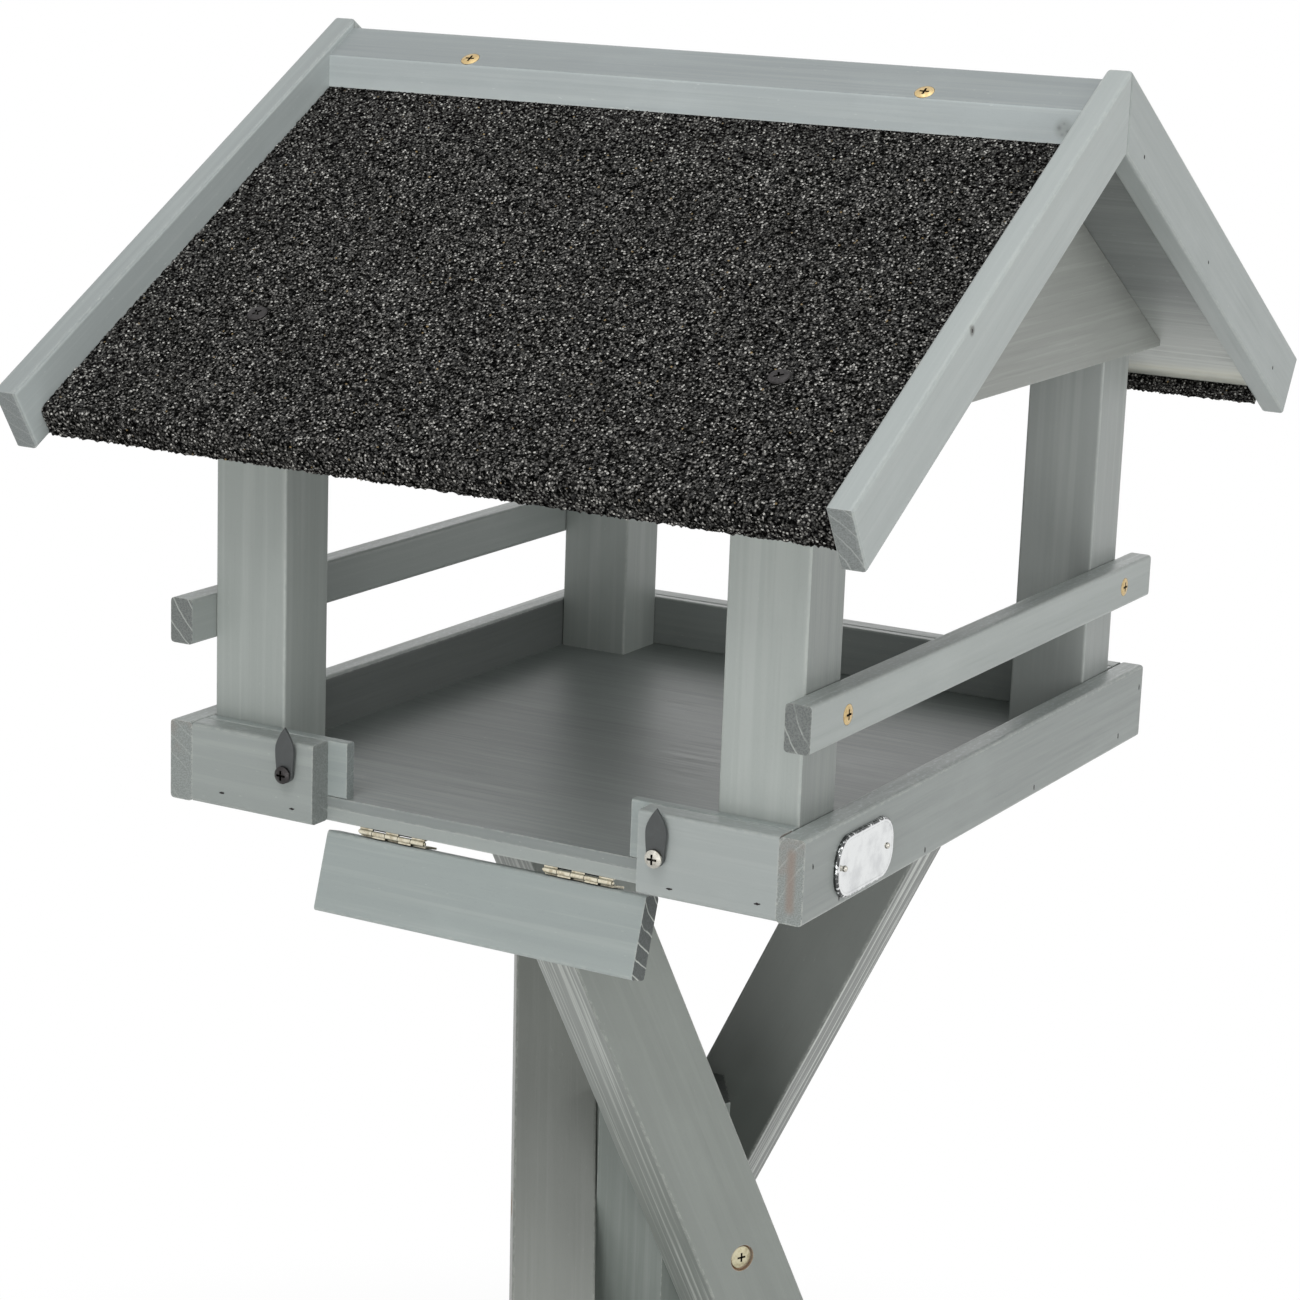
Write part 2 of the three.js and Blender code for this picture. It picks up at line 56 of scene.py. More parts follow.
SLOPE_UP_FRONT = Vector((0, -math.sin(PITCH), math.cos(PITCH)))
SLOPE_UP_BACK = Vector((0, math.sin(PITCH), math.cos(PITCH)))
STAND_TILT = math.radians(25)
STAND_HEADING = math.radians(63)
LEG_COUNT = 3
EAVES_LEVEL = 0.981
TRAY_FRONT = Vector((-0.14782, -0.20283, 0.778))
QUARTER_TURN = math.pi / 2


# Colours

FULL_BYTE = 255
SRGB_KNEE_SHARE = 0.04045
SRGB_SLOPE = 12.92
SRGB_OFFSET_SHARE = 0.055
SRGB_POWER = 2.4


def srgb(red, green, blue):
    """A colour given as the eye sees it, 0 to 255, as the linear colour that Blender takes."""
    values = []
    for value in (red, green, blue):
        share = value / FULL_BYTE
        if share <= SRGB_KNEE_SHARE:
            values.append(share / SRGB_SLOPE)
        else:
            values.append(((share + SRGB_OFFSET_SHARE) / (1 + SRGB_OFFSET_SHARE)) ** SRGB_POWER)
    return (*values, 1.0)


def toned(tone, share):
    return srgb(*[min(FULL_BYTE, value * share) for value in tone])


def grey(share):
    return (share, share, share, 1.0)


# Node helpers

# The places of a colour mix's sockets, and the roughness of noise that isn't given one
MIX_SHARE = 0
MIX_FIRST = 6
MIX_SECOND = 7
MIX_RESULT = 2
NOISE_ROUGHNESS = 0.55


class Shader:
    """A material under construction: most calls add one node and return its output socket."""

    def __init__(self, name):
        self.material = bpy.data.materials.new(name)
        self.material.use_nodes = True
        self.tree = self.material.node_tree
        self.tree.nodes.clear()

    def put(self, socket, value):
        """Links the socket to another one, or sets its own value."""
        if isinstance(value, bpy.types.NodeSocket):
            self.tree.links.new(value, socket)
        else:
            socket.default_value = value

    def add(self, kind, values=None, **settings):
        """Adds a node and returns the node itself."""
        made = self.tree.nodes.new(kind)
        for key, value in settings.items():
            setattr(made, key, value)
        for key, value in (values or {}).items():
            self.put(made.inputs[key], value)
        return made

    def coordinates(self):
        return self.add("ShaderNodeTexCoord")

    def vector(self, operation, first, second, output="Value"):
        values = {0: first, 1: second}
        return self.add("ShaderNodeVectorMath", values, operation=operation).outputs[output]

    def scaled(self, vector, factors):
        return self.vector("MULTIPLY", vector, factors, "Vector")

    def noise(self, vector, scale, detail, roughness=NOISE_ROUGHNESS):
        values = {"Vector": vector, "Scale": scale, "Detail": detail, "Roughness": roughness}
        return self.add("ShaderNodeTexNoise", values).outputs["Fac"]

    def math(self, operation, first, second):
        return self.add("ShaderNodeMath", {0: first, 1: second}, operation=operation).outputs[0]

    def between(self, value, low, high, to_low=0.0, to_high=1.0):
        """Rises smoothly from one value to another while the input goes from low to high."""
        values = {"Value": value, "From Min": low, "From Max": high, "To Min": to_low, "To Max": to_high}
        return self.add("ShaderNodeMapRange", values, interpolation_type="SMOOTHSTEP").outputs["Result"]

    def mixed(self, share, first, second, blend="MIX"):
        made = self.add("ShaderNodeMix", data_type="RGBA", blend_type=blend)
        for index, value in ((MIX_SHARE, share), (MIX_FIRST, first), (MIX_SECOND, second)):
            self.put(made.inputs[index], value)
        return made.outputs[MIX_RESULT]

    def bump(self, height, distance, strength):
        values = {"Height": height, "Distance": distance, "Strength": strength}
        return self.add("ShaderNodeBump", values).outputs[0]

    def shown(self, surface):
        """Makes the given shader the material's surface."""
        output = self.add("ShaderNodeOutputMaterial")
        self.tree.links.new(surface, output.inputs["Surface"])
        return self.material

    def finish(self, **values):
        named = {key.replace("_", " "): value for key, value in values.items()}
        return self.shown(self.add("ShaderNodeBsdfPrincipled", named).outputs[0])


def set_material(thing, material):
    thing.data.materials.clear()
    thing.data.materials.append(material)


# Painted timber

# Turns whose rows are the direction of the grain and two directions across it
GRAIN_X = Matrix.Identity(3)
GRAIN_Y = Matrix(((0, 1, 0), (0, 0, 1), (1, 0, 0)))
GRAIN_Z = Matrix(((0, 0, 1), (1, 0, 0), (0, 1, 0)))
STEEP_SHARE = 0.9

# How far the pith of a board lies from its middle: along it, and between two bounds across it
PITH_ALONG = 1
PITH_ACROSS = (0.02, 0.05)
PITH_DEEP = (0.03, 0.06)

# Noise in the wood: repeats to the metre along and across the grain, detail and roughness
WOOD_NOISE = {
    "fibres": ((16, 560, 560), 4, 0.62),
    "bands": ((1.4, 46, 46), 3, 0.5),
    "streaks": ((6, 300, 300), 4, 0.6),
    "nibs": ((230, 950, 950), 1, 0.55),
    "mottle": ((10, 22, 22), 5, 0.6),
    "grit": ((620, 1500, 1500), 3, 0.55),
    "wide": ((2.5, 120, 120), 2, 0.55),
    "specks": ((260, 620, 620), 3, 0.55),
}
RING_REPEATS = (4, 44, 44)
RING_WAVE = {"Scale": 1.0, "Distortion": 2.2, "Detail": 3.0, "Detail Scale": 0.9, "Detail Roughness": 0.6}

# Layers of the glaze: the noise, where it starts and is full, how much it shows, its share of the tone
GLAZE_SHARES = (
    ("bands", 0.36, 0.64, 0.55, 0.95),
    ("mottle", 0.5, 0.72, 0.5, 1.06),
    ("fibres", 0.55, 0.78, 0.22, 0.86),
    ("grit", 0.56, 0.74, 0.16, 0.84),
)

# Where each mark in the wood starts to show and where it is full, on a scale of 0 to 1
PALE_SHARES = (0.5, 0.62)
NIB_SHARES = (0.74, 0.81)
WIDE_SHARES = (0.5, 0.68)
SPECK_SHARES = (0.52, 0.64)
END_DARK_SHARES = (0.4, 0.62)
END_STAIN_SHARES = (0.5, 0.66)
RING_SHARES = (0.86, 0.96)
RING_BREAK_SHARES = (0.38, 0.5)
EDGE_SHARES = (0.998, 0.975)
EDGE_BREAK_SHARES = (0.4, 0.6)

# How far along a direction a face has to look to count as facing it, or as an end of the board
FACING_SHARES = (0.86, 0.95)
END_SHARES = (0.72, 0.9)

# The marks' colours (the specks' pale blue partly painted sheen on the tops), the worn edges' width, how far
# a spot's rim wanders, and the dark grit on the ends
BAND_PALE = (196, 201, 197)
SPECK_SHEEN_PALE = (198, 204, 208)
STREAK_PALE = (206, 210, 204)
NIB_PALE = (192, 196, 191)
END_STAIN_BROWN = (148, 118, 102)
RING_PALE = (196, 200, 194)
EDGE_PALE = (200, 202, 194)
EDGE_RADIUS = 1.2e-3
EDGE_SAMPLES = 4
SPOT_WANDER = 1.2e-3
END_DARKER_SHARE = 0.12

# The paint's relief with each mark's share in it, and its roughness from the fibres' low to their high
RELIEF = 0.16e-3
RELIEF_STRENGTH = 0.6
RELIEF_SHARES = {"fibres": 0.5, "pale": 0.35, "grit": 0.3, "nibs": 0.3}
ROUGH_SHARES = (0.3, 0.8, 0.38, 0.52)
END_ROUGHER_SHARE = 0.25
SPECULAR_SHARE = 0.5

# Bare wood at the eaves, which also paints light on the lower underside of the roof: heights above the eaves'
# level where it ends and is full, and how uneven it is
EAVES_WANDER = 6e-3
EAVES_WANDER_SHARES = (0.3, 0.7)
RAW_LEVELS = (0.058, 0.0)
UNSTREAKED_LEVELS = (0.06, 0.005)
CREAM_LEVELS = (0.006, -0.004)
UNEVEN_STREAK_SHARE = 0.35
UNEVEN_MOTTLE_SHARE = 0.65
RAW_UNEVEN_SHARES = (0.4, 0.56, 0.45, 1.0)
CREAM_UNEVEN_SHARES = (0.3, 0.6, 0.5, 1.0)
RAW_PALE = (196, 199, 194)
RAW_CREAM = (220, 219, 204)


def grain_along(direction):
    """Turns the frame so that its first axis runs along the given direction."""
    first = Vector(direction).normalized()
    helper = UP if abs(first.z) < STEEP_SHARE else RIGHT
    second = helper.cross(first).normalized()
    return Matrix((first, second, first.cross(second)))


def facing(shader, normal, direction, low=FACING_SHARES[0], high=FACING_SHARES[1]):
    """One on the faces that look along the direction, nothing on the others."""
    return shader.between(shader.vector("DOT_PRODUCT", normal, direction), low, high)


def eaves_bare_wood_and_light(shader, place, marks, colour, amount, shown):
    """The colour and the amount of pale streaks, with bare pale wood near the eaves that is also painted
    light.
    """
    height = shader.add("ShaderNodeSeparateXYZ", {"Vector": place}).outputs["Z"]
    wander = shader.between(marks["mottle"], *EAVES_WANDER_SHARES, -EAVES_WANDER, EAVES_WANDER)
    height = shader.math("ADD", height, wander)

    def near(levels, most=1.0):
        above, full = levels
        return shader.between(height, EAVES_LEVEL + above, EAVES_LEVEL + full, 0.0, most)

    amount = shader.math("MULTIPLY", amount, near(UNSTREAKED_LEVELS))
    uneven = shader.math("ADD", shader.math("MULTIPLY", marks["streaks"], UNEVEN_STREAK_SHARE),
                         shader.math("MULTIPLY", marks["mottle"], UNEVEN_MOTTLE_SHARE))
    raw = shader.math("MULTIPLY", near(RAW_LEVELS, shown), shader.between(uneven, *RAW_UNEVEN_SHARES))
    colour = shader.mixed(raw, colour, srgb(*RAW_PALE))
    cream = shader.math("MULTIPLY", near(CREAM_LEVELS, shown),
                        shader.between(marks["mottle"], *CREAM_UNEVEN_SHARES))
    return shader.mixed(cream, colour, srgb(*RAW_CREAM)), amount


def end_grain(shader, marks, grain, look):
    """The sawn ends' colour: darker grit, a brown stain and broken pale ring lines."""
    tone = look["tone"]
    rings = shader.add("ShaderNodeTexWave", {"Vector": shader.scaled(grain, RING_REPEATS), **RING_WAVE},
                       wave_type="RINGS", rings_direction="X", wave_profile="SAW").outputs["Fac"]
    colour = shader.mixed(shader.between(marks["grit"], *END_DARK_SHARES), toned(tone, look["end"]),
                          toned(tone, look["end"] - END_DARKER_SHARE))
    stain = shader.between(marks["mottle"], *END_STAIN_SHARES, 0.0, look["end_stain"])
    colour = shader.mixed(stain, colour, srgb(*END_STAIN_BROWN))
    line = shader.math("MULTIPLY", shader.between(rings, *RING_SHARES),
                       shader.between(marks["mottle"], *RING_BREAK_SHARES))
    return shader.mixed(shader.math("MULTIPLY", line, look["end_lines"]), colour, srgb(*RING_PALE))


def worn_edges(shader, marks):
    """One along the board's edges, broken up by specks."""
    rounded = shader.add("ShaderNodeBevel", {"Radius": EDGE_RADIUS}, samples=EDGE_SAMPLES).outputs[0]
    flat = shader.add("ShaderNodeNewGeometry").outputs["True Normal"]
    corner = shader.between(shader.vector("DOT_PRODUCT", rounded, flat), *EDGE_SHARES)
    return shader.math("MULTIPLY", corner, shader.between(marks["specks"], *EDGE_BREAK_SHARES))


def timber(name, thing, turn, seed, look):
    """Softwood under a satin grey glaze: bands, fibres, pale nibs and streaks, rings on the ends, and painted
    light and shade on some faces.
    """
    tone = look["tone"]
    shader = Shader(name)
    coordinates = shader.coordinates()
    normal = coordinates.outputs["Normal"]
    place = coordinates.outputs["Object"]
    chance = random.Random(seed)
    low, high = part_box(thing.name)
    pith = Vector((chance.uniform(-PITH_ALONG, PITH_ALONG),
                   chance.choice((-1, 1)) * chance.uniform(*PITH_ACROSS),
                   chance.choice((-1, 1)) * chance.uniform(*PITH_DEEP)))
    shift = pith - turn @ ((low + high) / 2)
    grain = shader.add("ShaderNodeMapping", {
        "Vector": place, "Location": shift, "Rotation": turn.to_euler("XYZ"),
    }).outputs[0]
    marks = {key: shader.noise(shader.scaled(grain, repeats), 1.0, detail, roughness)
             for key, (repeats, detail, roughness) in WOOD_NOISE.items()}

    colour = srgb(*tone)
    for key, start, full, most, share in GLAZE_SHARES:
        shown = shader.between(marks[key], start, full, 0.0, most)
        colour = shader.mixed(shown, colour, toned(tone, share))
    amount = look["streaks"]
    for direction, share in look["rough"]:
        added = shader.math("MULTIPLY", facing(shader, normal, direction), share)
        amount = shader.math("ADD", added, amount)
    # Bare pale wood towards the eaves, partly painted light
    if look["eaves"] > 0:
        colour, amount = eaves_bare_wood_and_light(shader, place, marks, colour, amount, look["eaves"])
    colour = shader.mixed(shader.between(marks["wide"], *WIDE_SHARES, 0.0, look["bands"]), colour,
                          srgb(*BAND_PALE))
    # Pale bluish specks on upward faces: a speckled paint texture, and painted sheen that makes the tops
    # lighter and bluer
    speckled_sheen = shader.math("MULTIPLY", shader.between(marks["specks"], *SPECK_SHARES),
                           facing(shader, normal, UP))
    colour = shader.mixed(shader.math("MULTIPLY", speckled_sheen, look["specks"]), colour, srgb(*SPECK_SHEEN_PALE))
    marks["pale"] = shader.math("MULTIPLY", shader.between(marks["streaks"], *PALE_SHARES), amount)
    colour = shader.mixed(marks["pale"], colour, srgb(*STREAK_PALE))
    colour = shader.mixed(shader.between(marks["nibs"], *NIB_SHARES, 0.0, look["nibs"]), colour,
                          srgb(*NIB_PALE))
    # Painted light and shade: faces that look along each listed direction are made lighter or darker
    for direction, share in look["faces"]:
        colour = shader.mixed(facing(shader, normal, direction), colour, grey(share), "MULTIPLY")

    along = shader.vector("DOT_PRODUCT", normal, turn[0])
    along = shader.add("ShaderNodeMath", {0: along}, operation="ABSOLUTE").outputs[0]
    end = shader.between(along, *END_SHARES)
    colour = shader.mixed(end, colour, end_grain(shader, marks, grain, look))
    worn = shader.math("MULTIPLY", worn_edges(shader, marks), look["worn"])
    colour = shader.mixed(worn, colour, srgb(*EDGE_PALE))
    for spot, radius, spot_colour, soft, share in look["spots"]:
        away = shader.vector("DISTANCE", place, spot)
        away = shader.math("ADD", away, shader.math("MULTIPLY", marks["mottle"], SPOT_WANDER))
        covered = shader.between(away, radius + soft, radius - soft, 0.0, share)
        colour = shader.mixed(covered, colour, srgb(*spot_colour))

    height = 0.0
    for key, share in RELIEF_SHARES.items():
        height = shader.math("ADD", shader.math("MULTIPLY", marks[key], share), height)
    roughness = shader.math("ADD", shader.between(marks["fibres"], *ROUGH_SHARES),
                            shader.math("MULTIPLY", end, END_ROUGHER_SHARE))
    return shader.finish(Base_Color=colour, Roughness=roughness,
                         Normal=shader.bump(height, RELIEF, RELIEF_STRENGTH),
                         Specular_IOR_Level=SPECULAR_SHARE)


def leg_outwards(index):
    """The level direction in which the foot of a leg stands out."""
    heading = STAND_HEADING + index * math.tau / LEG_COUNT
    return Vector((math.cos(heading), math.sin(heading), 0))


def leg_direction(index):
    """The direction down a leg."""
    return leg_outwards(index) * math.sin(STAND_TILT) - UP * math.cos(STAND_TILT)


def leg_side(index):
    """The side of a leg that looks back along its lean."""
    return -leg_outwards(index) * math.cos(STAND_TILT) - UP * math.sin(STAND_TILT)


# The grain of each board, by the start of its node's name
TIMBER = {
    "side_board": GRAIN_Y, "front_board": GRAIN_X, "flap_stop": GRAIN_X, "back_board": GRAIN_X,
    "back_packing": GRAIN_X, "floor_panel": GRAIN_X, "floor_batten": GRAIN_X, "leg_bearer": GRAIN_X,
    "post": GRAIN_Z, "side_rail": GRAIN_Y, "ridge_cap": GRAIN_X, "gable_board": GRAIN_Y, "flap": GRAIN_X,
    "roof_panel": GRAIN_X, "bargeboard_front": grain_along(SLOPE_FRONT),
    "bargeboard_back": grain_along(SLOPE_BACK), "leg_1": grain_along(leg_direction(0)),
    "leg_2": grain_along(leg_direction(1)), "leg_3": grain_along(leg_direction(2)),
    "stand_hub": GRAIN_Z,
}

# Knots and stains, each a place, a radius, a colour, how soft its rim is, and a share
KNOT_GREY = (104, 108, 104)
RIDGE_KNOT = [
    ((0.2284, -0.0219, 1.1225), 0.0048, (134, 138, 135), 0.0022, 0.55),
    ((0.2262, -0.0219, 1.1228), 0.0013, KNOT_GREY, 0.0012, 0.7),
    ((0.2285, -0.0219, 1.1249), 0.0009, KNOT_GREY, 0.0009, 0.5),
    ((0.2304, -0.0219, 1.1214), 0.0012, KNOT_GREY, 0.0009, 0.6),
    ((0.2278, -0.0219, 1.1198), 0.0010, KNOT_GREY, 0.0011, 0.5),
]
BARGE_KNOT_PLACE = (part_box("bargeboard_front_right")[1].x, -0.1661, 1.0461)
BARGE_KNOT = [(BARGE_KNOT_PLACE, 0.0027, (92, 92, 87), 0.001, 0.85)]
STAIN_FOOT = (0.1957, -0.2028, 0.785)
STAIN_STEP = 0.0022
STAIN_COUNT = 13
STAIN_LOOK = (0.0026, (136, 119, 108), 0.0016, 0.5)
END_STAIN = [((STAIN_FOOT[0], STAIN_FOOT[1], STAIN_FOOT[2] + step * STAIN_STEP), *STAIN_LOOK)
             for step in range(STAIN_COUNT)]

# What every board looks like: tone is its paint, rough streaks some faces, and faces lightens or darkens some
# as painted light and shade
PLAIN_LOOK = {"tone": (152, 158, 155), "streaks": 0.05, "rough": [], "faces": [], "worn": 0.3, "end": 0.82,
              "end_lines": 0.5, "end_stain": 0.0, "eaves": 0.0, "nibs": 0.3, "bands": 0.06, "specks": 0.0,
              "spots": []}

# What is different on some boards, by the start of the node's name
LOOKS = {
    "side_board": {"tone": (153, 159, 156), "end": 0.93, "end_stain": 0.35, "end_lines": 0.2,
                   "rough": [(UP, 0.12)], "specks": 0.3, "worn": 0.5},
    # Painted shade: the side boards' right faces are darkened, the left board's inner face strongly
    "side_board_right": {"faces": [(RIGHT, 0.86)], "spots": END_STAIN},
    "side_board_left": {"faces": [(RIGHT, 0.42)]},
    "side_rail": {"tone": (162, 168, 165), "end": 0.72, "rough": [(UP, 0.2)], "specks": 0.4},
    # Painted shade: the packing's front face is darkened
    "back_packing": {"faces": [(FRONT, 0.72)]},
    "flap_stop": {"end": 0.93, "end_lines": 0.15},
    "front_board": {"end": 0.9, "end_stain": 0.6, "end_lines": 0.2, "specks": 0.2},
    "front_board_left": {"tone": (144, 150, 147)},
    "front_board_right": {"tone": (159, 165, 163)},
    # The flap's ends are darker: end grain, and painted shade on its end faces
    "flap": {"tone": (151, 159, 157), "streaks": 0.08, "end": 0.62, "end_lines": 1.0},
    "post": {"tone": (158, 164, 160), "bands": 0.22},
    # Painted shade: the right faces of the right posts are darkened
    "post_front_right": {"tone": (167, 173, 169), "faces": [(RIGHT, 0.66)]},
    "post_back_right": {"tone": (173, 178, 175), "faces": [(RIGHT, 0.78)], "bands": 0.35},
    # Painted shade: the panel's darker tone stands in for the shade under the roof; towards the eaves it
    # turns to bare pale wood, which is also painted light
    "roof_panel": {"tone": (118, 122, 120), "streaks": 0.3, "eaves": 0.9},
    "floor_panel": {"tone": (132, 138, 136)},
    "gable_board": {"tone": (146, 149, 144), "streaks": 0.1},
    "bargeboard": {"tone": (160, 166, 164), "end_lines": 0.35},
    # Painted light and shade: the left bargeboard's darker tone is painted shade on its top, and the right
    # faces of both are lightened as painted light
    "bargeboard_front_left": {"tone": (145, 151, 150), "faces": [(RIGHT, 1.5)], "end_lines": 0.15,
                              "end": 0.9},
    "bargeboard_front_right": {"faces": [(RIGHT, 1.16)], "spots": BARGE_KNOT},
    "leg": {"tone": (134, 139, 134), "streaks": 0.03, "nibs": 0.08, "bands": 0.02},
    "leg_1": {"rough": [(leg_side(0), 0.55)]},
    # Painted shade: this leg's darker tone stands in for the shade under the tray and behind the front leg
    "leg_2": {"tone": (110, 114, 110), "rough": [(leg_side(1), 0.8)], "streaks": 0.0, "bands": 0.0},
    "leg_3": {"tone": (127, 130, 125)},
    # Painted shade: the hub's darker tone and its plain dark ends stand in for the shade in the middle of the
    # stand
    "stand_hub": {"tone": (119, 126, 121), "nibs": 0.08, "end": 0.5, "end_lines": 0.0},
    # Painted light: the cap's darker tone is painted shade on its top, and its front faces are lightened as
    # painted light
    "ridge_cap": {"tone": (141, 147, 147), "faces": [(FRONT, 1.67)], "spots": RIDGE_KNOT},
}

# Bare wood around the screws: the spot's radius, its colour, how soft its rim is, and a share
RAW_WOOD = (168, 124, 82)
LEG_RIM = (0.0076, RAW_WOOD, 0.0005, 1.0)
SMALL_RIM = (0.0047, RAW_WOOD, 0.0004, 1.0)
SCREW_FACE_DEPTH = 0.8e-3


def keys_of(name, table):
    """The keys of the table that the node's name starts with, the shortest first."""
    return sorted((key for key in table if name.startswith(key)), key=len)


def screw_face(name, outward):
    """The middle of a screw's head, for a screw whose axis runs along outward."""
    points = [vertex.co for vertex in nodes[name].data.vertices]
    reach = max(point.dot(outward) for point in points)
    head = [point for point in points if point.dot(outward) > reach - SCREW_FACE_DEPTH]
    return sum(head, Vector()) / len(head)


def screw_rims():
    """Spots of bare wood around the screws, by the name of the board that shows them."""
    rims = {"ridge_cap": []}
    for index in range(LEG_COUNT):
        outward = leg_outwards(index).cross(UP)
        rims[f"leg_{index + 1}"] = [(screw_face(f"leg_screw_{index + 1}", outward), *LEG_RIM)]
    for side, outward in (("left", -RIGHT), ("right", RIGHT)):
        rims["side_rail_" + side] = [(screw_face(f"rail_screw_{end}_{side}", outward), *SMALL_RIM)
                                     for end in ("front", "back")]
    for side, outward in (("front", SLOPE_UP_FRONT), ("back", SLOPE_UP_BACK)):
        for end in ("left", "right"):
            rims["ridge_cap"].append((screw_face(f"cap_screw_{side}_{end}", outward), *SMALL_RIM))
    return rims


def paint_boards():
    rims = screw_rims()
    seed = 0
    for name, thing in sorted(nodes.items()):
        keys = keys_of(name, TIMBER)
        if not keys or "screw" in name:
            continue
        seed += 1
        look = dict(PLAIN_LOOK)
        for key in keys_of(name, LOOKS):
            look.update(LOOKS[key])
        look["spots"] = look["spots"] + rims.get(name, [])
        set_material(thing, timber("glazed_" + name, thing, TIMBER[keys[-1]], seed, look))


paint_boards()


# Roofing felt, with depths square to the slope and lengths along it, both from the ridge

RIDGE_PLACE = (0.0, 1.175e-3, 1.1495)
FELT_DEPTH = 17.7e-3
FELT_THICKNESS = 2.5e-3
FELT_INNER = 308.3e-3
FELT_FOLD = 4e-3
FELT_HEM = 3e-3
FELT_UNDER = 14e-3
FELT_SLACK = 1.3e-3
FELT_TOP_GAP = 0.3e-3
FELT_SIDE_GAP = 0.2e-3
FELT_EDGE_DROP = 0.3e-3
FELT_TOP_BEVEL = 1.5e-3
FELT_BENDS = 6
FELT_SEED = 40
PANEL_THICKNESS = 10.2e-3
UNDER_CAP = 27e-3

# The granules' spacing, how far each point lies out of the sheet and aside, and the ragged underside
FELT_STEP = 1.25e-3
GRAIN_RISE = (-0.75e-3, 0.75e-3, 0.1e-3)
GRAIN_SLIDE = 0.35e-3
RAGGED_SHARE = 0.3
RAGGED_RISE = 0.7e-3

# Cells to the metre for the granules and for their chips, dark patches, and the relief
GRAIN_REPEATS = 880.0
CHIP_REPEATS = 1700.0
PATCH_REPEATS = 26.0
PATCH_DETAIL = 3
CHIP_SHARE = 0.35
GRAIN_RELIEF = 0.9e-3
GRAIN_RELIEF_STRENGTH = 0.9

# Shares between which a granule's tone, kind, gap, patch and gloss run from one look to the next
GRAIN_TONE_SHARES = (0.15, 0.95)
GREY_KIND_SHARES = (0.72, 0.8)
PALE_KIND_SHARES = (0.93, 0.95)
RUSTY_KIND_SHARES = (0.003, 0.002)
GAP_SHARES = (0.36, 0.66, 0.0, 0.95)
PATCH_SHARES = (0.4, 0.7, 0.0, 0.25)
GRAIN_ROUGH_SHARES = (0.0, 1.0, 0.22, 0.8)
GRAIN_SHINE_SHARES = (0.75, 1.0, 0.0, 0.5)
GRAIN_BLACK = (8, 8, 8)
GRAIN_GREY = (95, 94, 91)
GREY_KIND = (140, 138, 134)
PALE_KIND = (208, 206, 200)
RUSTY_KIND = (160, 140, 104)
GAP_BLACK = (5, 5, 5)
PATCH_BLACK = (22, 21, 20)

# The two screws in the front felt: where each lies across and along the slope
FELT_SCREWS = ((0.1686, 0.2248), (-0.1122, 0.2245))
FELT_SCREW_SEED = 60
FELT_SCREW_POINTS = 48

# The screw head's loops: how wide and how far out of the felt each is, where None is the cross recess
HEAD_STEPS = ((5.2e-3, -0.9e-3), (5.2e-3, 0.7e-3), (4.7e-3, 1.2e-3), (3e-3, 1.35e-3), (None, 1.35e-3),
              (None, 0.2e-3))
CROSS_REACH = 2.5e-3
CROSS_HALF = 0.55e-3
LEAST_SINE = 1e-6


def felt_material():
    """Bitumen felt under coarse mineral granules, black with grey, pale and rusty grains."""
    shader = Shader("roofing_felt")
    place = shader.coordinates().outputs["Object"]
    cells = shader.add("ShaderNodeTexVoronoi", {"Vector": place, "Scale": GRAIN_REPEATS})
    chips = shader.add("ShaderNodeTexVoronoi", {"Vector": place, "Scale": CHIP_REPEATS})
    split = shader.add("ShaderNodeSeparateColor", {"Color": cells.outputs["Color"]})
    tone, kind, gloss = split.outputs
    patches = shader.noise(place, PATCH_REPEATS, PATCH_DETAIL)
    colour = shader.mixed(shader.between(tone, *GRAIN_TONE_SHARES), srgb(*GRAIN_BLACK), srgb(*GRAIN_GREY))
    for value, shares, grain in (
            (kind, GREY_KIND_SHARES, GREY_KIND), (kind, PALE_KIND_SHARES, PALE_KIND),
            (kind, RUSTY_KIND_SHARES, RUSTY_KIND), (cells.outputs["Distance"], GAP_SHARES, GAP_BLACK),
            (patches, PATCH_SHARES, PATCH_BLACK)):
        colour = shader.mixed(shader.between(value, *shares), colour, srgb(*grain))
    height = shader.math("SUBTRACT", tone, cells.outputs["Distance"])
    height = shader.math("SUBTRACT", height, shader.math("MULTIPLY", chips.outputs["Distance"], CHIP_SHARE))
    return shader.finish(Base_Color=colour, Roughness=shader.between(gloss, *GRAIN_ROUGH_SHARES),
                         Normal=shader.bump(height, GRAIN_RELIEF, GRAIN_RELIEF_STRENGTH),
                         Specular_IOR_Level=shader.between(gloss, *GRAIN_SHINE_SHARES))


def felt_bend(path, along, depth, radius, start):
    """Adds a quarter turn of the felt around the given point, from the start angle on."""
    for index in range(FELT_BENDS + 1):
        angle = start + index / FELT_BENDS * QUARTER_TURN
        path.append((along + radius * math.sin(angle), depth - radius * math.cos(angle),
                     math.sin(angle), -math.cos(angle)))


def felt_run(path, start, end, outward):
    """Adds the points between two points of the felt's outside, a grain's step apart."""
    count = round(math.dist(start, end) / FELT_STEP)
    for index in range(1, count):
        share = index / count
        point = [first + (last - first) * share for first, last in zip(start, end)]
        path.append((*point, *outward))


